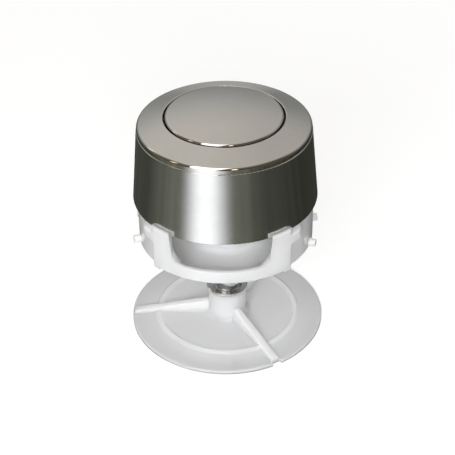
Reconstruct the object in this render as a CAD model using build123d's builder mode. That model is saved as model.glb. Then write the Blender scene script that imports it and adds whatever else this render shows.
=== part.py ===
from build123d import *
import os
from math import cos, hypot, radians, sin

# Push button actuator for a cistern lid, in millimetres, +Z up.
# The origin is on the axis, on the underside of the push plate that the actuator stands on.
# The front window of the base faces -Y. Bearings are in degrees from -Y towards +X.

os.makedirs("parts", exist_ok=True)

# Push plate
plate_radius = 38.0
plate_rim_height = 1.2
plate_edge_round = 0.5
plate_swell = 0.2
web_height = 1.9
bead_radius = 27.3
bead_width = 3.0
bead_height = 1.0
bead_round = 1.2
hub_radius = 7.6
hub_height = 13.2
hub_edge_round = 0.4
hub_foot_round = 2.0
rib_count = 3
rib_bearing = 33.3
rib_thickness = 3.2
rib_height_at_hub = 5.2
rib_height_at_rim = 0.95
rib_setback = 0.9
rib_edge_round = 0.9
rib_foot_round = 2.2
rib_taper = 0.45
notch_width = 3.7
notch_depth = 1.3
notch_corner = 0.5

# Threaded rod and its lock nut
rod_radius = 5.4
rod_end_level = 3.0
rod_chamfer = 0.8
rod_showing = 23.6
rod_grip = 20.0
thread_gap = 0.1
nut_radius = 8.1
nut_thickness = 1.6
nut_chamfer = 0.4

# Moulded base
floor_thickness = 1.9
floor_rise = 2.1
floor_slope_width = 2.3
base_wall = 1.6
base_round = 1.5
seat_height = 19.6
spigot_height = 7.0
stem_hole_gap = 0.6
tube_radius = 14.5
tube_wall = 2.0
tube_height = 31.7
tube_foot_round = 2.5
tube_lip_round = 0.5

# Window frames, hooks, feet and pins of the base
band_rise = 2.6
band_stand = 1.7
leg_half_span = 25.3
tab_height = 1.4
tab_thickness = 1.6
tab_gap = 0.2
hook_width = 3.2
hook_drop = 1.0
hook_height = 4.5
foot_drop = 0.8
foot_width = 2.5
window_rise = 7.9
window_half_width = 17.3
window_flare = 1.4
window_corner = 4.5
window_overlap = 2.0
pin_bearings = (74.0, 102.5)
pin_radius = 1.5
pin_length = 2.6
pin_rise = 3.8
pin_round = 0.5
frame_edge_round = 0.4
relief_rise = 4.0
band_thickness = 1.3

# Sleeve and bezel
sleeve_foot_radius = 34.8
sleeve_top_radius = 32.35
sleeve_height = 28.1
sleeve_wall = 1.4
sleeve_edge_round = 0.4
sleeve_gap = 0.15
bezel_setback = 0.2
bezel_edge_height = 2.1
bezel_rise = 5.2
bezel_edge_round = 1.4
bezel_wall = 1.8
bezel_lip_round = 0.4
bezel_spigot_depth = 4.5
bezel_collar_depth = 9.0
bezel_collar_wall = 1.8

# Button, plunger and spring
button_radius = 21.7
button_gap = 0.6
button_proud = 0.3
button_crown = 1.9
button_rim_round = 1.0
button_thickness = 1.9
button_skirt_wall = 1.6
button_flange_width = 1.3
button_flange_height = 1.5
button_travel = 9.0
stop_gap = 0.2
plunger_gap = 0.2
plunger_wall = 1.8
plunger_disc_gap = 0.3
plunger_disc_height = 2.0
plunger_web = 2.0
stem_clear = 5.7
skirt_reserve = 8.7
spring_length = 31.7
spring_wire = 1.4
spring_clear = 0.65
spring_coils = 5
spring_end_gap = 0.15

# Levels and radii that follow from the sizes above
nut_top = hub_height + nut_thickness
base_bottom = nut_top + rod_showing
floor_top = base_bottom + floor_thickness
seat_level = base_bottom + seat_height
sleeve_top = seat_level + sleeve_height
bore_level = sleeve_top + bezel_rise
bezel_radius = sleeve_top_radius - bezel_setback
sleeve_slope = (sleeve_foot_radius - sleeve_top_radius) / sleeve_height
wall_radius = sleeve_foot_radius - sleeve_wall - sleeve_gap
spigot_radius = wall_radius - sleeve_slope * spigot_height
tube_bore = tube_radius - tube_wall
plunger_radius = tube_bore - plunger_gap
skirt_bore = plunger_radius - plunger_wall
coil_radius = skirt_bore - spring_clear - spring_wire / 2
stem_radius = coil_radius - spring_wire / 2 - spring_clear
stem_hole = stem_radius + stem_hole_gap
bezel_bore = button_radius + button_gap
collar_level = bore_level - bezel_collar_depth
button_rim = bore_level + button_proud
button_underside = button_rim - button_thickness
spring_top = floor_top + spring_length
stem_bottom = floor_top + stem_clear
skirt_bottom = floor_top + button_travel + skirt_reserve
rod_top = stem_bottom + rod_grip


def bearing(angle):
    """Unit vector that points outwards at a bearing."""
    return Vector(sin(radians(angle)), -cos(radians(angle)), 0)


def round_corners(profile, corners, radius):
    """Fillet the corners of a profile that lie at the given points."""
    fillet([profile.vertices().sort_by_distance(corner)[0] for corner in corners], radius)


# Rib of the push plate: it tapers from the hub to the rim, with a rounded top and a flared foot
rib_start = hub_radius - rib_thickness / 2
rib_end = plate_radius - rib_setback
rib_sections = [
    (rib_start, web_height, rib_height_at_hub, 1.0),
    (rib_end, plate_rim_height, rib_height_at_rim, rib_taper),
]
with BuildPart() as plate_rib:
    for radius, foot, height, taper in rib_sections:
        side = rib_thickness / 2
        top = foot + height
        edge_round = rib_edge_round * taper
        foot_round = min(rib_foot_round * taper, height - 2 * edge_round)
        section_plane = Plane(
            origin=bearing(rib_bearing) * radius, x_dir=bearing(rib_bearing + 90), z_dir=bearing(rib_bearing)
        )
        with BuildSketch(section_plane):
            with BuildLine():
                foot_edge = Line((0, 0), (side + foot_round, 0))
                foot_wall = Line(foot_edge @ 1, (side + foot_round, foot))
                flare = RadiusArc(foot_wall @ 1, (side, foot + foot_round), foot_round)
                upright = Line(flare @ 1, (side, top - edge_round))
                rounding = RadiusArc(upright @ 1, (side - edge_round, top), -edge_round)
                half_top = Line(rounding @ 1, (0, top))
                mirror([foot_edge, foot_wall, flare, upright, rounding, half_top], about=Plane.YZ)
            make_face()
    loft(ruled=True)

# Push plate: a disc with a bead and a hub, and the ribs between hub and rim
bead_inner = bead_radius - bead_width / 2
bead_outer = bead_radius + bead_width / 2
hub_bore = rod_radius + thread_gap
with BuildPart() as push_plate:
    with BuildSketch(Plane.XZ) as plate_profile:
        with BuildLine():
            swell = SagittaArc((plate_radius, plate_rim_height), (bead_outer, web_height), plate_swell)
            Polyline(
                swell @ 1,
                (bead_radius, web_height + bead_height),
                (bead_inner, web_height),
                (hub_radius, web_height),
                (hub_radius, hub_height),
                (hub_bore, hub_height),
                (hub_bore, 0),
                (plate_radius, 0),
                swell @ 0,
            )
        make_face()
        round_corners(plate_profile, [(plate_radius, plate_rim_height)], plate_edge_round)
        bead_foot = [(bead_outer, web_height), (bead_inner, web_height)]
        round_corners(plate_profile, [(bead_radius, web_height + bead_height), *bead_foot], bead_round)
        round_corners(plate_profile, [(hub_radius, web_height)], hub_foot_round)
        round_corners(plate_profile, [(hub_radius, hub_height)], hub_edge_round)
    revolve(axis=Axis.Z)
    with PolarLocations(0, rib_count):
        add(plate_rib.part)
    with BuildSketch(Plane(origin=bearing(rib_bearing) * plate_radius, x_dir=bearing(rib_bearing))) as notch:
        Rectangle(2 * notch_depth, notch_width)
        fillet(notch.vertices(), notch_corner)
    extrude(amount=2 * web_height, mode=Mode.SUBTRACT)
push_plate.part.label = "push_plate"
export_step(push_plate.part, "parts/push_plate.step")

# Lock nut: a thin round nut that bears on the hub
with BuildPart() as lock_nut:
    with BuildSketch(Plane.XY.offset(hub_height)):
        Circle(nut_radius)
        Circle(rod_radius + thread_gap, mode=Mode.SUBTRACT)
    extrude(amount=nut_thickness)
    chamfer(lock_nut.edges().filter_by(GeomType.CIRCLE), length=nut_chamfer)
lock_nut.part.label = "lock_nut"
export_step(lock_nut.part, "parts/lock_nut.step")

# Push rod: from the hub up into the plunger's stem
with BuildPart() as push_rod:
    with BuildSketch(Plane.XY.offset(rod_end_level)):
        Circle(rod_radius)
    extrude(amount=rod_top - rod_end_level)
    chamfer(push_rod.edges().filter_by(GeomType.CIRCLE), length=rod_chamfer)
push_rod.part.label = "push_rod"
export_step(push_rod.part, "parts/push_rod.step")

# Window frames of the base: a flared ring cut to the outline of the legs, band, hooks and feet
band_bottom = base_bottom + band_rise
tab_inner = sleeve_foot_radius + tab_gap
tab_outer = tab_inner + tab_thickness
tab_top = seat_level + tab_height
hook_half_span = leg_half_span + hook_width
hook_top = seat_level - hook_drop
hook_bottom = hook_top - hook_height
foot_bottom = band_bottom - foot_drop
with BuildPart() as window_frames:
    with BuildSketch(Plane.XZ):
        with BuildLine():
            Polyline(
                (wall_radius - base_wall / 2, foot_bottom),
                (wall_radius + band_stand, foot_bottom),
                (tab_outer, tab_top),
                (tab_inner, tab_top),
                (tab_inner, seat_level),
                (wall_radius - base_wall / 2, seat_level),
                close=True,
            )
        make_face()
    revolve(axis=Axis.Z)
    with BuildSketch(Plane.XZ):
        with BuildLine():
            half_outline = Polyline(
                (0, band_bottom),
                (leg_half_span - foot_width, band_bottom),
                (leg_half_span - foot_width, foot_bottom),
                (leg_half_span, foot_bottom),
                (leg_half_span, hook_bottom),
                (hook_half_span, hook_bottom),
                (hook_half_span, hook_top),
                (leg_half_span, hook_top),
                (leg_half_span, tab_top),
                (0, tab_top),
            )
            mirror(half_outline, about=Plane.YZ)
        make_face()
    extrude(amount=tab_outer, both=True, mode=Mode.INTERSECT)
    fillet(window_frames.faces().filter_by(GeomType.CONE).edges(), frame_edge_round)

# Moulded base: cup, spring tube, window frames, pins and the two windows
wall_foot = base_bottom + floor_rise
spigot_top = seat_level + spigot_height
tube_top = floor_top + tube_height
window_bottom = base_bottom + window_rise
window_top = seat_level + window_overlap
tube_clearance = tube_radius + tube_foot_round
relief_level = base_bottom + relief_rise
relief_radius = wall_radius + band_stand - band_thickness
with BuildPart() as guide_base:
    with BuildSketch(Plane.XZ) as base_profile:
        with BuildLine():
            Polyline(
                (stem_hole, base_bottom),
                (wall_radius - floor_slope_width, base_bottom),
                (wall_radius, wall_foot),
                (wall_radius, seat_level),
                (spigot_radius, spigot_top),
                (spigot_radius - base_wall, spigot_top),
                (wall_radius - base_wall, seat_level),
                (wall_radius - base_wall, floor_top),
                (tube_radius, floor_top),
                (tube_radius, tube_top),
                (tube_bore, tube_top),
                (tube_bore, floor_top),
                (stem_hole, floor_top),
                close=True,
            )
        make_face()
        round_corners(base_profile, [(wall_radius - base_wall, floor_top)], base_round)
        round_corners(base_profile, [(tube_radius, floor_top)], tube_foot_round)
        round_corners(base_profile, [(tube_radius, tube_top)], tube_lip_round)
    revolve(axis=Axis.Z)
    add(window_frames.part)
    pin_planes = [
        Plane(origin=bearing(angle) * (wall_radius - base_wall / 2) + Vector(0, 0, base_bottom + pin_rise),
              z_dir=bearing(angle))
        for side in (1, -1)
        for angle in (side * pin for pin in pin_bearings)
    ]
    with BuildSketch(*pin_planes):
        Circle(pin_radius)
    extrude(amount=base_wall / 2 + pin_length)
    pin_ends = guide_base.faces(Select.LAST).filter_by(GeomType.PLANE)
    fillet(pin_ends.edges(), pin_round)
    window_planes = [
        Plane(origin=bearing(angle) * tube_clearance, x_dir=bearing(angle + 90), z_dir=bearing(angle))
        for angle in (0, 180)
    ]
    with BuildSketch(*window_planes) as window:
        with BuildLine():
            half_window = Polyline(
                (0, window_bottom),
                (window_half_width, window_bottom),
                (window_half_width + window_flare, window_top),
                (0, window_top),
            )
            mirror(half_window, about=Plane.YZ)
        make_face()
        sills = [(side * window_half_width, window_bottom) for side in (-1, 1)]
        round_corners(window, sills, window_corner)
    extrude(amount=tab_outer, mode=Mode.SUBTRACT)
    with BuildSketch(Plane.XY.offset(relief_level)):
        Circle(relief_radius)
        Rectangle(2 * window_half_width, 2 * relief_radius, mode=Mode.INTERSECT)
        Circle(tube_clearance, mode=Mode.SUBTRACT)
    extrude(amount=window_bottom - relief_level, mode=Mode.SUBTRACT)
guide_base.part.label = "guide_base"
export_step(guide_base.part, "parts/guide_base.step")

# Outer sleeve: a tapered tube that stands on the ledges of the legs
with BuildPart() as outer_sleeve:
    with BuildSketch(Plane.XZ) as sleeve_profile:
        with BuildLine():
            Polyline(
                (sleeve_foot_radius - sleeve_wall, seat_level),
                (sleeve_foot_radius, seat_level),
                (sleeve_top_radius, sleeve_top),
                (sleeve_top_radius - sleeve_wall, sleeve_top),
                close=True,
            )
        make_face()
        outer_edges = [(sleeve_foot_radius, seat_level), (sleeve_top_radius, sleeve_top)]
        round_corners(sleeve_profile, outer_edges, sleeve_edge_round)
    revolve(axis=Axis.Z)
outer_sleeve.part.label = "outer_sleeve"
export_step(outer_sleeve.part, "parts/outer_sleeve.step")

# Bezel ring: a cone that rises to the button, with a spigot in the sleeve and a collar round the button
bezel_corner = sleeve_top + bezel_edge_height
spigot_outer = sleeve_top_radius - sleeve_wall - sleeve_gap
spigot_inner = spigot_outer - bezel_wall
collar_outer = bezel_bore + bezel_collar_wall
face_slope = (bore_level - bezel_corner) / (bezel_radius - bezel_bore)


def under_face(radius):
    """Level of the bezel's underside at a radius."""
    return bore_level - bezel_wall - face_slope * (radius - bezel_bore)


with BuildPart() as bezel_ring:
    with BuildSketch(Plane.XZ) as bezel_profile:
        with BuildLine():
            Polyline(
                (bezel_bore, bore_level),
                (bezel_radius, bezel_corner),
                (bezel_radius, sleeve_top),
                (spigot_outer, sleeve_top),
                (spigot_outer, sleeve_top - bezel_spigot_depth),
                (spigot_inner, sleeve_top - bezel_spigot_depth),
                (spigot_inner, under_face(spigot_inner)),
                (collar_outer, under_face(collar_outer)),
                (collar_outer, collar_level),
                (bezel_bore, collar_level),
                close=True,
            )
        make_face()
        round_corners(bezel_profile, [(bezel_radius, bezel_corner)], bezel_edge_round)
        round_corners(bezel_profile, [(bezel_bore, bore_level)], bezel_lip_round)
    revolve(axis=Axis.Z)
bezel_ring.part.label = "bezel_ring"
export_step(bezel_ring.part, "parts/bezel_ring.step")

# Button cap: a domed shell with a flange that stops under the bezel's collar
flange_top = collar_level - stop_gap
flange_radius = bezel_bore + button_flange_width
skirt_inner = button_radius - button_skirt_wall
with BuildPart() as button_cap:
    with BuildSketch(Plane.XZ) as cap_profile:
        with BuildLine():
            crown = ThreePointArc(
                (-button_radius, button_rim),
                (0, button_rim + button_crown),
                (button_radius, button_rim),
            )
            Polyline(
                crown @ 1,
                (button_radius, flange_top),
                (flange_radius, flange_top),
                (flange_radius, flange_top - button_flange_height),
                (skirt_inner, flange_top - button_flange_height),
                (skirt_inner, button_underside),
                (-skirt_inner, button_underside),
                (-skirt_inner, flange_top - button_flange_height),
                (-flange_radius, flange_top - button_flange_height),
                (-flange_radius, flange_top),
                (-button_radius, flange_top),
                crown @ 0,
            )
        make_face()
        round_corners(cap_profile, [crown @ 0, crown @ 1], button_rim_round)
        split(bisect_by=Plane.YZ)
    revolve(axis=Axis.Z)
button_cap.part.label = "button_cap"
export_step(button_cap.part, "parts/button_cap.step")

# Plunger: a disc under the button, a skirt that slides in the spring tube and a stem for the rod
disc_bottom = button_underside - plunger_disc_height
disc_radius = skirt_inner - plunger_disc_gap
rod_bore = rod_radius + thread_gap
with BuildPart() as plunger:
    with BuildSketch(Plane.XZ):
        with BuildLine():
            Polyline(
                (rod_bore, stem_bottom),
                (stem_radius, stem_bottom),
                (stem_radius, spring_top),
                (skirt_bore, spring_top),
                (skirt_bore, skirt_bottom),
                (plunger_radius, skirt_bottom),
                (plunger_radius, disc_bottom),
                (disc_radius, disc_bottom),
                (disc_radius, button_underside),
                (skirt_bore, button_underside),
                (skirt_bore, spring_top + plunger_web),
                (0, spring_top + plunger_web),
                (0, rod_top),
                (rod_bore, rod_top),
                close=True,
            )
        make_face()
    revolve(axis=Axis.Z)
plunger.part.label = "plunger"
export_step(plunger.part, "parts/plunger.step")

# Return spring: a coil in the tube, between the base's floor and the plunger's web
# Each half turn is a tilted arc that starts and ends level, and one turn at each end lies closed.
closed_rise = (spring_wire + spring_end_gap) / 2
open_rise = (spring_length - spring_wire - 4 * closed_rise) / (2 * spring_coils)
half_turn_rises = [closed_rise] * 2 + [open_rise] * (2 * spring_coils) + [closed_rise] * 2
with BuildPart() as return_spring:
    with BuildLine() as coil:
        level = floor_top + spring_wire / 2
        side = coil_radius
        for rise in half_turn_rises:
            bulge = (side / coil_radius) * hypot(coil_radius, rise / 2)
            ThreePointArc((side, 0, level), (0, bulge, level + rise / 2), (-side, 0, level + rise))
            level += rise
            side = -side
    with BuildSketch(Plane(origin=coil.line @ 0, z_dir=coil.line % 0)):
        Circle(spring_wire / 2)
    sweep()
return_spring.part.label = "return_spring"
export_step(return_spring.part, "parts/return_spring.step")
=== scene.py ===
import math

import bpy
from mathutils import Matrix, Vector


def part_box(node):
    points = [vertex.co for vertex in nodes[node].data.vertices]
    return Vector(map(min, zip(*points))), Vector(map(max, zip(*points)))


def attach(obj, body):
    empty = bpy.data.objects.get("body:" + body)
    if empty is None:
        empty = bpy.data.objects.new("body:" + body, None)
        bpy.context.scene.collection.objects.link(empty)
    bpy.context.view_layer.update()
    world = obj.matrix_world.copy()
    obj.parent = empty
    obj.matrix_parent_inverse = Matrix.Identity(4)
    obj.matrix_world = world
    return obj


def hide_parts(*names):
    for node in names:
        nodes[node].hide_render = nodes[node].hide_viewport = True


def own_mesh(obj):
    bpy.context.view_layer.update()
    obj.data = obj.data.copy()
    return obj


# Lengths are in metres. Bearings are in degrees, from -Y, the front, towards +X.

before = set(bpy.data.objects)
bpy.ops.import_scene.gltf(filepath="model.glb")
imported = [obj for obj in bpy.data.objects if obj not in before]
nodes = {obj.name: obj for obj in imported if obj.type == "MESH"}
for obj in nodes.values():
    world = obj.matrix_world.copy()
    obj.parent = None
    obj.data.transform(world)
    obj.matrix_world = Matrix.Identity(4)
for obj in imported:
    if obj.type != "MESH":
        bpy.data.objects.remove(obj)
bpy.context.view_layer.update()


# Shader node helpers

# A Mix node has sockets for every kind of value, and those for colours go by number
MIX_FIRST_COLOR = 6
MIX_SECOND_COLOR = 7
MIX_COLOR_RESULT = 2

# A noise texture's values lie mostly between these
NOISE_LOW = 0.3
NOISE_HIGH = 0.7


def new_material(name):
    """A material with a Principled shader, its node tree and that shader."""
    material = bpy.data.materials.new(name)
    material.use_nodes = True
    return material, material.node_tree, material.node_tree.nodes["Principled BSDF"]


def plug(tree, socket, value):
    """Give an input a constant, or link it to an output."""
    if isinstance(value, bpy.types.NodeSocket):
        tree.links.new(value, socket)
    else:
        socket.default_value = value


def add_node(tree, kind, settings=None, **inputs):
    """A node of that kind with its settings, and its named inputs as constants or links."""
    node = tree.nodes.new(kind)
    for key, value in (settings or {}).items():
        setattr(node, key, value)
    for key, value in inputs.items():
        plug(tree, node.inputs[key.replace("_", " ")], value)
    return node


def maths(tree, operation, *values):
    """The output of a Math node whose inputs are sockets or numbers."""
    node = add_node(tree, "ShaderNodeMath", {"operation": operation})
    for socket, value in zip(node.inputs, values):
        plug(tree, socket, value)
    return node.outputs[0]


def product(tree, first, second):
    """Two values multiplied."""
    return maths(tree, "MULTIPLY", first, second)


def total(tree, first, second):
    """Two values added."""
    return maths(tree, "ADD", first, second)


def ramp(tree, value, low, high, start=0.0, end=1.0):
    """A smooth step of a value between two limits."""
    node = add_node(tree, "ShaderNodeMapRange", {"interpolation_type": "SMOOTHSTEP"}, Value=value)
    for key, limit in (("From Min", low), ("From Max", high), ("To Min", start), ("To Max", end)):
        plug(tree, node.inputs[key], limit)
    return node.outputs["Result"]


def mix_value(tree, share, first, second):
    """A blend of two values."""
    return add_node(tree, "ShaderNodeMix", Factor=share, A=first, B=second).outputs[0]


def mix_color(tree, share, first, second):
    """A blend of two colours, each a socket or red, green and blue."""
    node = add_node(tree, "ShaderNodeMix", {"data_type": "RGBA"}, Factor=share)
    for number, color in ((MIX_FIRST_COLOR, first), (MIX_SECOND_COLOR, second)):
        plug(tree, node.inputs[number], (*color, 1.0) if isinstance(color, tuple) else color)
    return node.outputs[MIX_COLOR_RESULT]


def object_vector(tree):
    """The Object coordinates of a surface."""
    return tree.nodes.new("ShaderNodeTexCoord").outputs["Object"]


def part_of(tree, vector, axis):
    """A vector's X, Y or Z."""
    return add_node(tree, "ShaderNodeSeparateXYZ", Vector=vector).outputs[axis]


def radius_of(tree, vector):
    """The distance of a point from the Z axis."""
    x = part_of(tree, vector, "X")
    y = part_of(tree, vector, "Y")
    return maths(tree, "SQRT", total(tree, product(tree, x, x), product(tree, y, y)))


def bearing_of(tree, vector):
    """The bearing of a vector."""
    x = part_of(tree, vector, "X")
    y = part_of(tree, vector, "Y")
    return maths(tree, "DEGREES", maths(tree, "ARCTAN2", x, product(tree, y, -1.0)))


# Shared shader groups

FINE_MOTTLE_RATIO = 7.3
BROAD_MOTTLE_SHARE = 0.7
FINE_MOTTLE_SHARE = 0.3

SMEAR_TURN = (0.3, 0.2, 0.7)
SMEAR_STRETCH = (1.0, 2.6, 1.4)
SMEAR_LIMITS = (0.55, 0.72)


def new_group(name, inputs, outputs):
    """An empty shader group with named sockets, its input node and its output node."""
    group = bpy.data.node_groups.new(name, "ShaderNodeTree")
    for socket, kind, default in inputs:
        made = group.interface.new_socket(socket, in_out="INPUT", socket_type=kind)
        if default is not None:
            made.default_value = default
    for socket, kind in outputs:
        group.interface.new_socket(socket, in_out="OUTPUT", socket_type=kind)
    return group, group.nodes.new("NodeGroupInput"), group.nodes.new("NodeGroupOutput")


def soft_mottle_group():
    """Cloudy variation over a surface, in two scales, from 0 to 1."""
    group, given, made = new_group(
        "soft_mottle",
        [("Vector", "NodeSocketVector", None), ("Scale", "NodeSocketFloat", 60.0)],
        [("Value", "NodeSocketFloat")],
    )
    vector = given.outputs["Vector"]
    scale = given.outputs["Scale"]
    fine_scale = product(group, scale, FINE_MOTTLE_RATIO)
    broad = add_node(group, "ShaderNodeTexNoise", Vector=vector, Scale=scale, Detail=3.0)
    fine = add_node(group, "ShaderNodeTexNoise", Vector=vector, Scale=fine_scale, Detail=2.0)
    clouds = total(group, product(group, broad.outputs["Fac"], BROAD_MOTTLE_SHARE),
                   product(group, fine.outputs["Fac"], FINE_MOTTLE_SHARE))
    group.links.new(ramp(group, clouds, NOISE_LOW, NOISE_HIGH), made.inputs["Value"])
    return group


def handling_marks_group():
    """Faint smears where the part was held: a mask from 0 to 1."""
    group, given, made = new_group(
        "handling_marks",
        [("Vector", "NodeSocketVector", None), ("Scale", "NodeSocketFloat", 90.0)],
        [("Mask", "NodeSocketFloat")],
    )
    stretched = add_node(group, "ShaderNodeMapping", Vector=given.outputs["Vector"],
                         Rotation=SMEAR_TURN, Scale=SMEAR_STRETCH)
    smear = add_node(group, "ShaderNodeTexNoise", Vector=stretched.outputs[0],
                     Scale=given.outputs["Scale"], Detail=4.0, Distortion=0.8)
    group.links.new(ramp(group, smear.outputs["Fac"], *SMEAR_LIMITS), made.inputs["Mask"])
    return group


def skin_relief_group():
    """Height of a fine surface grain over slow waves, for bump."""
    group, given, made = new_group(
        "skin_relief",
        [
            ("Vector", "NodeSocketVector", None),
            ("Grain Scale", "NodeSocketFloat", 2500.0),
            ("Wave Scale", "NodeSocketFloat", 120.0),
            ("Wave Share", "NodeSocketFloat", 0.5),
        ],
        [("Height", "NodeSocketFloat")],
    )
    vector = given.outputs["Vector"]
    wave_share = given.outputs["Wave Share"]
    grain = add_node(group, "ShaderNodeTexNoise", Vector=vector, Scale=given.outputs["Grain Scale"],
                     Detail=1.0)
    wave = add_node(group, "ShaderNodeTexNoise", Vector=vector, Scale=given.outputs["Wave Scale"],
                    Detail=1.0)
    grain_share = maths(group, "SUBTRACT", 1.0, wave_share)
    height = total(group, product(group, wave.outputs["Fac"], wave_share),
                   product(group, grain.outputs["Fac"], grain_share))
    group.links.new(height, made.inputs["Height"])
    return group


SOFT_MOTTLE = soft_mottle_group()
HANDLING_MARKS = handling_marks_group()
SKIN_RELIEF = skin_relief_group()


def use_group(tree, group, **inputs):
    """The output of a shared group placed in a material."""
    return add_node(tree, "ShaderNodeGroup", {"node_tree": group}, **inputs).outputs[0]


def bump(tree, shader, height, distance):
    """Bump the surface by a height."""
    node = add_node(tree, "ShaderNodeBump", Strength=1.0, Distance=distance, Height=height)
    tree.links.new(node.outputs["Normal"], shader.inputs["Normal"])


# Chrome plating on the button, the bezel and the sleeve: a darker and a lighter shade, and roughness

WARM_CHROME = ((0.62, 0.605, 0.58), (0.65, 0.635, 0.61))
SLEEVE_CHROME = ((0.60, 0.605, 0.60), (0.64, 0.64, 0.635))
TOP_SATIN = 0.2
SLEEVE_SATIN = 0.17
POLISHED = 0.05

# The radius where the satin face ends and the polished edge starts
BUTTON_POLISH_FROM = 0.0206
BEZEL_POLISH_FROM = 0.0306
POLISH_BLEND = 0.0002

PLATING_MOTTLE_SCALE = 70.0
PLATING_SMEAR_SCALE = 110.0
PLATING_MOTTLE_ROUGHNESS = 0.02
PLATING_SMEAR_ROUGHNESS = 0.03
PLATING_BUMP = 0.0000006


def plating(name, shades, satin, polished_from=None):
    """Chrome plating: a satin face, with a polished edge outside a radius where one is given."""
    material, tree, shader = new_material(name)
    shader.inputs["Metallic"].default_value = 1.0
    vector = object_vector(tree)
    mottle = use_group(tree, SOFT_MOTTLE, Vector=vector, Scale=PLATING_MOTTLE_SCALE)
    tree.links.new(mix_color(tree, mottle, *shades), shader.inputs["Base Color"])
    smears = use_group(tree, HANDLING_MARKS, Vector=vector, Scale=PLATING_SMEAR_SCALE)
    uneven = total(tree, product(tree, smears, PLATING_SMEAR_ROUGHNESS),
                   product(tree, mottle, PLATING_MOTTLE_ROUGHNESS))
    rough = total(tree, satin, uneven)
    if polished_from is not None:
        edge = ramp(tree, radius_of(tree, vector), polished_from, polished_from + POLISH_BLEND)
        rough = mix_value(tree, edge, rough, POLISHED)
    tree.links.new(rough, shader.inputs["Roughness"])
    skin = use_group(tree, SKIN_RELIEF, Vector=vector,
                     Grain_Scale=4200.0, Wave_Scale=150.0, Wave_Share=0.85)
    bump(tree, shader, skin, PLATING_BUMP)
    return material


# Steel of the nut, the rod and the spring: a darker and a lighter shade

NUT_STEEL = ((0.80, 0.81, 0.83), (0.86, 0.87, 0.89))
ROD_STEEL = ((0.74, 0.745, 0.75), (0.81, 0.815, 0.82))
SPRING_STEEL = ((0.50, 0.50, 0.49), (0.60, 0.60, 0.58))

# The nut's upper face is painted darker: a painted shade standing in for the shaded underside of the base
# that it mirrors
NUT_TOP_PAINTED_SHADE = (0.40, 0.41, 0.43)
PAINTED_SHADE_BLEND = 0.00012

STEEL_MOTTLE_SCALE = 160.0
STEEL_LINE_STRETCH = (0.05, 0.05, 1.0)
STEEL_LINE_ROUGHNESS = 0.1
STEEL_LINE_BUMP = 0.000001


def steel(name, shades, rough, line_scale, painted_shade_from=None):
    """Steel with fine lines round the axis, as turned or drawn, and a painted shade above a height if one is
    given.
    """
    material, tree, shader = new_material(name)
    shader.inputs["Metallic"].default_value = 1.0
    vector = object_vector(tree)
    mottle = use_group(tree, SOFT_MOTTLE, Vector=vector, Scale=STEEL_MOTTLE_SCALE)
    color = mix_color(tree, mottle, *shades)
    if painted_shade_from is not None:
        # Above the height the colour turns to a painted shade that darkens the top face
        painted_shade = ramp(tree, part_of(tree, vector, "Z"), painted_shade_from, painted_shade_from + PAINTED_SHADE_BLEND)
        color = mix_color(tree, painted_shade, color, NUT_TOP_PAINTED_SHADE)
    tree.links.new(color, shader.inputs["Base Color"])
    stretched = add_node(tree, "ShaderNodeMapping", Vector=vector, Scale=STEEL_LINE_STRETCH)
    noise = add_node(tree, "ShaderNodeTexNoise", Vector=stretched.outputs[0], Scale=line_scale, Detail=2.0)
    lines = noise.outputs["Fac"]
    spread = ramp(tree, lines, NOISE_LOW, NOISE_HIGH, rough, rough + STEEL_LINE_ROUGHNESS)
    tree.links.new(spread, shader.inputs["Roughness"])
    bump(tree, shader, lines, STEEL_LINE_BUMP)
    return material


# White plastic of the plate, and milky plastic of the base and the plunger: a darker and a lighter shade,
# and the depth that light enters to

PLATE_WHITE = ((0.930, 0.930, 0.940), (0.936, 0.936, 0.946))
MILKY_WHITE = ((0.950, 0.950, 0.940), (0.956, 0.956, 0.948))
PLATE_DEPTH = 0.006
MILKY_DEPTH = 0.004
MOULDING_MOTTLE_SCALE = 45.0
MOULDING_ROUGHNESS = (0.14, 0.19)
MOULDING_SCATTER = (1.0, 1.0, 0.95)
MOULDING_BUMP = 0.000008


def moulding(name, shades, depth):
    """Moulded plastic that light enters to a depth, with a faint grain on its skin."""
    material, tree, shader = new_material(name)
    vector = object_vector(tree)
    mottle = use_group(tree, SOFT_MOTTLE, Vector=vector, Scale=MOULDING_MOTTLE_SCALE)
    tree.links.new(mix_color(tree, mottle, *shades), shader.inputs["Base Color"])
    tree.links.new(ramp(tree, mottle, 0.0, 1.0, *MOULDING_ROUGHNESS), shader.inputs["Roughness"])
    shader.inputs["Subsurface Weight"].default_value = 1.0
    shader.inputs["Subsurface Radius"].default_value = MOULDING_SCATTER
    shader.inputs["Subsurface Scale"].default_value = depth
    skin = use_group(tree, SKIN_RELIEF, Vector=vector,
                     Grain_Scale=1800.0, Wave_Scale=90.0, Wave_Share=0.6)
    bump(tree, shader, skin, MOULDING_BUMP)
    return material


# Finishes of the CAD pieces, and of the new rod and spring

nut_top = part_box("lock_nut")[1].z
milky = moulding("milky_moulding", MILKY_WHITE, MILKY_DEPTH)
finishes = {
    "button_cap": plating("button_plating", WARM_CHROME, TOP_SATIN, BUTTON_POLISH_FROM),
    "bezel_ring": plating("bezel_plating", WARM_CHROME, TOP_SATIN, BEZEL_POLISH_FROM),
    "outer_sleeve": plating("sleeve_plating", SLEEVE_CHROME, SLEEVE_SATIN),
    # The nut's top face gets a painted shade above the given height
    "lock_nut": steel("nut_plating", NUT_STEEL, rough=0.2, line_scale=2600.0,
                      painted_shade_from=nut_top - PAINTED_SHADE_BLEND),
    "push_plate": moulding("white_moulding", PLATE_WHITE, PLATE_DEPTH),
}
rod_steel = steel("rod_plating", ROD_STEEL, rough=0.1, line_scale=1900.0)
spring_steel = steel("spring_wire", SPRING_STEEL, rough=0.16, line_scale=900.0)
for name, node in nodes.items():
    node.data.materials.clear()
    node.data.materials.append(finishes.get(name, milky))


# New pieces: a rod with a thread at each end of a plain shank, and a coiled spring

SMOOTH_ANGLE = math.radians(40)

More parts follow.
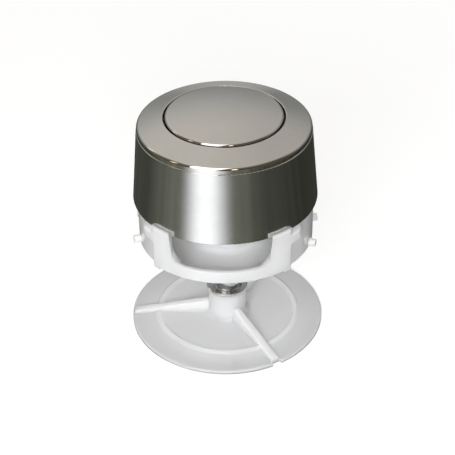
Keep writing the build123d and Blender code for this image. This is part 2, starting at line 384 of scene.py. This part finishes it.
ROD_SEGMENTS = 72
ROD_CHAMFER = 0.0008
THREAD_PITCH = 0.0015
THREAD_DEPTH = 0.0008
THREAD_RINGS_PER_PITCH = 10
THREAD_RUNOUT = 0.0012
THREAD_ABOVE_NUT = 0.0002

# The groove over one pitch: its flanks would rise past its full depth, which makes its floor flat
GROOVE_HEIGHT = 1.9
GROOVE_SLOPE = 4.4

WIRE_RADIUS = 0.0007
WIRE_SEGMENTS = 14
SPRING_STEPS = 56
SPRING_TURNS = 7
SPRING_END_GAP = 0.00015


def add_circle(name, **settings):
    """Deselect everything and add a circle, which a piece then grows from."""
    bpy.ops.object.select_all(action="DESELECT")
    bpy.ops.mesh.primitive_circle_add(**settings)
    piece = bpy.context.object
    piece.name = name
    return piece


def open_mesh(action):
    """Edit the piece's mesh, with all of it selected or none."""
    bpy.ops.object.mode_set(mode="EDIT")
    bpy.ops.mesh.select_all(action=action)


def close_mesh():
    """Leave the mesh, with the piece's place kept in it and its object at the origin."""
    bpy.ops.object.mode_set(mode="OBJECT")
    bpy.ops.object.transform_apply(location=True, rotation=True, scale=True)


def end_piece(piece, material, body, replaced):
    """Turn a piece's faces outwards, smooth it, and hang it on its body in place of a CAD node."""
    open_mesh("SELECT")
    bpy.ops.mesh.normals_make_consistent(inside=False)
    close_mesh()
    bpy.ops.object.shade_smooth_by_angle(angle=SMOOTH_ANGLE)
    piece.data.materials.append(material)
    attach(piece, body)
    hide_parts(replaced)


def thread_levels(low, high):
    """Levels of the rings of a threaded stretch."""
    count = math.ceil((high - low) / THREAD_PITCH * THREAD_RINGS_PER_PITCH)
    return [low + (high - low) * step / count for step in range(count + 1)]


def thread_cut(angle, level, stretches):
    """Depth of the thread's groove at a point, which runs out at the ends of its stretch."""
    for low, high in stretches:
        if low <= level <= high:
            fade = min(1.0, (level - low) / THREAD_RUNOUT, (high - level) / THREAD_RUNOUT)
            phase = (level / THREAD_PITCH - angle / (2 * math.pi)) % 1.0
            groove = max(0.0, min(1.0, GROOVE_HEIGHT - GROOVE_SLOPE * abs(phase - 0.5)))
            return THREAD_DEPTH * groove * fade
    return 0.0


def make_push_rod():
    """The rod, drawn up ring by ring from its lower end, then threaded."""
    low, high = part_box("push_rod")
    radius = high.x
    end_radius = radius - ROD_CHAMFER
    lower_thread = (low.z + ROD_CHAMFER, nut_top + THREAD_ABOVE_NUT)
    upper_thread = (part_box("plunger")[0].z, high.z - ROD_CHAMFER)
    rod = add_circle("threaded_push_rod", vertices=ROD_SEGMENTS, radius=end_radius, fill_type="NGON",
                     location=(0, 0, low.z))
    open_mesh("SELECT")
    level = low.z
    for target in [*thread_levels(*lower_thread), *thread_levels(*upper_thread), high.z]:
        bpy.ops.mesh.extrude_region_move(TRANSFORM_OT_translate={"value": (0, 0, target - level)})
        if target == lower_thread[0]:
            grow = radius / end_radius
            bpy.ops.transform.resize(value=(grow, grow, 1), center_override=(0, 0, target))
        level = target
    shrink = end_radius / radius
    bpy.ops.transform.resize(value=(shrink, shrink, 1), center_override=(0, 0, level))
    close_mesh()
    for vertex in rod.data.vertices:
        x, y, z = vertex.co
        cut = thread_cut(math.atan2(y, x), z, (lower_thread, upper_thread))
        vertex.co.x *= 1 - cut / radius
        vertex.co.y *= 1 - cut / radius
    end_piece(rod, rod_steel, "pusher", "push_rod")


def make_return_spring():
    """The coil: a wire section carried round the axis, then lifted turn by turn, with closed ends."""
    low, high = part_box("return_spring")
    coil_radius = high.x - WIRE_RADIUS
    spring = add_circle("coiled_return_spring", vertices=WIRE_SEGMENTS, radius=WIRE_RADIUS,
                        location=(coil_radius, 0, low.z + WIRE_RADIUS), rotation=(math.radians(90), 0, 0))
    close_mesh()
    coil = spring.modifiers.new("coil", "SCREW")
    coil.angle = 2 * math.pi
    coil.iterations = SPRING_TURNS
    coil.steps = SPRING_STEPS
    coil.render_steps = SPRING_STEPS
    coil.use_merge_vertices = False
    bpy.ops.object.modifier_apply(modifier=coil.name)

    closed_rise = 2 * WIRE_RADIUS + SPRING_END_GAP
    open_rise = (high.z - low.z - 2 * WIRE_RADIUS - 2 * closed_rise) / (SPRING_TURNS - 2)
    for index, vertex in enumerate(spring.data.vertices):
        turns = (index // WIRE_SEGMENTS) / SPRING_STEPS
        closed = min(turns, 1.0) + max(turns - SPRING_TURNS + 1, 0.0)
        vertex.co.z += closed * closed_rise + (turns - closed) * open_rise

    open_mesh("DESELECT")
    bpy.ops.mesh.select_non_manifold()
    bpy.ops.mesh.edge_face_add()
    end_piece(spring, spring_steel, "pusher", "return_spring")
    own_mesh(spring)


make_push_rod()
make_return_spring()


# Camera, worked out from the ellipses of the bezel and the push plate: its place before it is turned to its
# bearing, its downward pitch in degrees, its lens and sensor in millimetres, and its shift in picture widths

CAMERA_SIDESTEP = 0.0114
CAMERA_DISTANCE = 0.3872
CAMERA_HEIGHT = 0.3126
CAMERA_BEARING = 2.1
CAMERA_PITCH = 35.0
CAMERA_LENS = 96.98
CAMERA_SENSOR = 36.0
CAMERA_SHIFT = -0.062


def make_camera():
    """The camera at the photograph's place."""
    turn = Matrix.Rotation(math.radians(CAMERA_BEARING), 4, "Z")
    bpy.ops.object.camera_add()
    camera = bpy.context.object
    camera.name = "photo_camera"
    camera.location = turn @ Vector((CAMERA_SIDESTEP, -CAMERA_DISTANCE, CAMERA_HEIGHT))
    camera.rotation_euler = (math.radians(90 - CAMERA_PITCH), 0, math.radians(CAMERA_BEARING))
    camera.data.sensor_width = CAMERA_SENSOR
    camera.data.lens = CAMERA_LENS
    camera.data.shift_x = CAMERA_SHIFT
    bpy.context.scene.camera = camera


make_camera()


# Floor as the camera sees it, with a glow that grows between two distances, and its grey to bounced light

FLOOR_RADIUS = 4.0
FLOOR_SEGMENTS = 96
FLOOR_WHITE = 0.5
FLOOR_GLOW = 0.62
FLOOR_FAR_GLOW = 0.95
FLOOR_FADE = (0.15, 1.6)
BOUNCE_GREY = 0.55

# Table as reflections show it: bearings and radiance of a patch that a window lights, and of one behind
WINDOW_RISE = (-49, -22)
WINDOW_FALL = (-15, 13)
WINDOW_RADIANCE = 1.5
BEHIND_RISE = (148, 176)
BEHIND_RADIANCE = 0.35

# The rest of the table is dark: its radiance at both ends of a rise on the left and of a fall on the right
LEFT_RISE = (-105, -48)
LEFT_RADIANCE = (0.07, 0.2)
RIGHT_FALL = (14, 50)
RIGHT_RADIANCE = (0.2, 0.075)
RIGHT_DIM = (46, 110)
RIGHT_DIM_SHARE = 0.6
STREAK_SCALE = 0.16
STREAK_SHARES = (0.8, 1.2)

# Between two distances from the part the dark stretches turn into one grey
FAR_TABLE = (0.4, 1.2)
FAR_RADIANCE = 0.22

# The table's tints, and the radiance between which one turns into the other
DARK_TABLE = (0.975, 1.0, 0.80)
BRIGHT_TABLE = (0.98, 0.985, 1.0)
TABLE_TINT_LIMITS = (0.1, 0.6)


def mirrored_table(tree, vector, radius):
    """The table in reflections: dark with faint streaks, and two lit patches."""
    bearing = bearing_of(tree, vector)
    window = product(tree, ramp(tree, bearing, *WINDOW_RISE), ramp(tree, bearing, *WINDOW_FALL, 1.0, 0.0))
    behind = ramp(tree, maths(tree, "ABSOLUTE", bearing), *BEHIND_RISE)
    lit = total(tree, product(tree, window, WINDOW_RADIANCE), product(tree, behind, BEHIND_RADIANCE))

    left = ramp(tree, bearing, *LEFT_RISE, *LEFT_RADIANCE)
    right = product(tree, ramp(tree, bearing, *RIGHT_FALL, *RIGHT_RADIANCE),
                    ramp(tree, bearing, *RIGHT_DIM, 1.0, RIGHT_DIM_SHARE))
    noise = add_node(tree, "ShaderNodeTexNoise", {"noise_dimensions": "1D"}, W=bearing, Scale=STREAK_SCALE,
                     Detail=2.0)
    streaks = ramp(tree, noise.outputs["Fac"], NOISE_LOW, NOISE_HIGH, *STREAK_SHARES)
    near = product(tree, maths(tree, "MINIMUM", left, right), streaks)
    unlit = mix_value(tree, ramp(tree, radius, *FAR_TABLE), near, FAR_RADIANCE)

    level = total(tree, lit, unlit)
    color = mix_color(tree, ramp(tree, level, *TABLE_TINT_LIMITS), DARK_TABLE, BRIGHT_TABLE)
    return add_node(tree, "ShaderNodeEmission", Color=color, Strength=level)


def floor_material():
    """White with the part's shadow to the camera, grey to bounced light, and a dark table in reflections."""
    material = bpy.data.materials.new("studio_floor")
    material.use_nodes = True
    tree = material.node_tree
    tree.nodes.clear()
    vector = object_vector(tree)
    radius = radius_of(tree, vector)
    path = tree.nodes.new("ShaderNodeLightPath")
    seen = path.outputs["Is Camera Ray"]

    diffuse = add_node(tree, "ShaderNodeBsdfDiffuse", Color=mix_value(tree, seen, BOUNCE_GREY, FLOOR_WHITE))
    glow_level = ramp(tree, radius, *FLOOR_FADE, FLOOR_GLOW, FLOOR_FAR_GLOW)
    glow = add_node(tree, "ShaderNodeEmission", Strength=product(tree, seen, glow_level))
    plain = tree.nodes.new("ShaderNodeAddShader")
    tree.links.new(diffuse.outputs[0], plain.inputs[0])
    tree.links.new(glow.outputs[0], plain.inputs[1])

    table = mirrored_table(tree, vector, radius)
    surface = add_node(tree, "ShaderNodeMixShader", Fac=path.outputs["Is Glossy Ray"])
    tree.links.new(plain.outputs[0], surface.inputs[1])
    tree.links.new(table.outputs[0], surface.inputs[2])
    add_node(tree, "ShaderNodeOutputMaterial", Surface=surface.outputs[0])
    return material


def make_floor():
    """A wide round floor under the part."""
    floor = add_circle("studio_floor", vertices=FLOOR_SEGMENTS, radius=FLOOR_RADIUS, fill_type="NGON")
    floor.data.materials.append(floor_material())


make_floor()


# Sky as reflections show it: its radiance at the horizon, and from an elevation in degrees upwards

SKY_HORIZON = 0.265
SKY_TOP = 0.715
SKY_TOP_FROM = 42.0

# The share that is left to the right, by the direction's X, and in front, by bearing and elevation
SKY_RIGHT = (-0.2, 0.32)
SKY_RIGHT_SHARE = 0.79
SKY_FRONT_BEARINGS = (70, 125)
SKY_FRONT_ELEVATIONS = (45, 70)
SKY_FRONT_SHARE = 0.28

# The share of it that lights the part, apart from reflections
SKY_LIGHT_SHARE = 0.6

SKY_LOW_TINT = (0.985, 1.0, 0.985)
SKY_HIGH_TINT = (1.0, 0.965, 0.905)
SKY_TINT_ELEVATIONS = (18, 40)
SKY_FRONT_TINT = (1.0, 0.86, 0.64)

# Small lights by bearing and radiance, and the degrees off their middle between which they fade
SMALL_LIGHTS = [(-106.0, 1.2), (-64.0, 1.6), (15.5, 2.6)]
SMALL_LIGHT_TINT = (1.0, 0.85, 0.6)
SMALL_LIGHT_ELEVATION = 25.0
SMALL_LIGHT_WIDTH = (2, 5)
SMALL_LIGHT_HEIGHT = (6, 14)

# Sky as the camera sees it
SKY_WHITE = 0.97
WHITE = (1.0, 1.0, 1.0)


def closeness(tree, value, place, limits):
    """1 where a value is near a place, falling to 0 between two distances from it."""
    off = maths(tree, "ABSOLUTE", maths(tree, "SUBTRACT", value, place))
    return ramp(tree, off, *limits, 1.0, 0.0)


def make_sky():
    """A pale room: brighter and warmer overhead, dimmer to the right, brown in front, with small lights."""
    world = bpy.data.worlds.new("studio_world")
    bpy.context.scene.world = world
    world.use_nodes = True
    tree = world.node_tree
    tree.nodes.clear()
    direction = tree.nodes.new("ShaderNodeTexCoord").outputs["Generated"]
    bearing = bearing_of(tree, direction)
    elevation = maths(tree, "DEGREES", maths(tree, "ARCSINE", part_of(tree, direction, "Z")))

    rise = ramp(tree, elevation, 0, SKY_TOP_FROM, SKY_HORIZON, SKY_TOP)
    right = ramp(tree, part_of(tree, direction, "X"), *SKY_RIGHT, 1.0, SKY_RIGHT_SHARE)
    in_front = product(tree, closeness(tree, bearing, 0, SKY_FRONT_BEARINGS),
                       ramp(tree, elevation, *SKY_FRONT_ELEVATIONS, 1.0, 0.0))
    front = ramp(tree, in_front, 0, 1, 1.0, SKY_FRONT_SHARE)
    level = product(tree, rise, product(tree, right, front))
    color = mix_color(tree, ramp(tree, elevation, *SKY_TINT_ELEVATIONS), SKY_LOW_TINT, SKY_HIGH_TINT)
    color = mix_color(tree, in_front, color, SKY_FRONT_TINT)

    band = closeness(tree, elevation, SMALL_LIGHT_ELEVATION, SMALL_LIGHT_HEIGHT)
    for place, radiance in SMALL_LIGHTS:
        spot = product(tree, closeness(tree, bearing, place, SMALL_LIGHT_WIDTH), band)
        level = total(tree, level, product(tree, spot, radiance))
        color = mix_color(tree, spot, color, SMALL_LIGHT_TINT)

    path = tree.nodes.new("ShaderNodeLightPath")
    seen = path.outputs["Is Camera Ray"]
    level = product(tree, level, ramp(tree, path.outputs["Is Glossy Ray"], 0, 1, SKY_LIGHT_SHARE, 1.0))
    background = add_node(tree, "ShaderNodeBackground", Color=mix_color(tree, seen, color, WHITE),
                          Strength=mix_value(tree, seen, level, SKY_WHITE))
    add_node(tree, "ShaderNodeOutputWorld", Surface=background.outputs[0])


make_sky()


# Lamps: one that shows only in reflections, and three that light the part and show in none

LAMP_AIM = Vector((0, 0, 0.08))
LAMP_DISTANCE = 1.0


def make_lamp(name, bearing, elevation, width, height, radiance, color, lit=True, mirrored=True):
    """A soft rectangular lamp that faces the part."""
    flat = math.cos(math.radians(elevation))
    toward = Vector((math.sin(math.radians(bearing)) * flat, -math.cos(math.radians(bearing)) * flat,
                     math.sin(math.radians(elevation))))
    bpy.ops.object.light_add(type="AREA")
    lamp = bpy.context.object
    lamp.name = name
    lamp.data.shape = "RECTANGLE"
    lamp.data.size = width
    lamp.data.size_y = height
    lamp.data.energy = radiance * width * height * math.pi
    lamp.data.color = color
    lamp.location = LAMP_AIM + toward * LAMP_DISTANCE
    lamp.rotation_euler = toward.to_track_quat("Z", "Y").to_euler()
    lamp.visible_diffuse = lit
    lamp.visible_glossy = mirrored


make_lamp("window_lamp", bearing=-22, elevation=37, width=0.62, height=1.5, radiance=1.9,
          color=(0.99, 0.995, 1.0), lit=False)
make_lamp("front_lamp", bearing=-6, elevation=23, width=0.7, height=0.3, radiance=12.4,
          color=(0.95, 0.975, 1.0), mirrored=False)
make_lamp("top_lamp", bearing=0, elevation=60, width=1.2, height=0.8, radiance=1.3,
          color=(0.97, 0.985, 1.0), mirrored=False)
make_lamp("rear_lamp", bearing=170, elevation=32, width=0.9, height=0.6, radiance=1.0,
          color=(0.97, 0.985, 1.0), mirrored=False)

bpy.context.scene.view_settings.view_transform = "Standard"
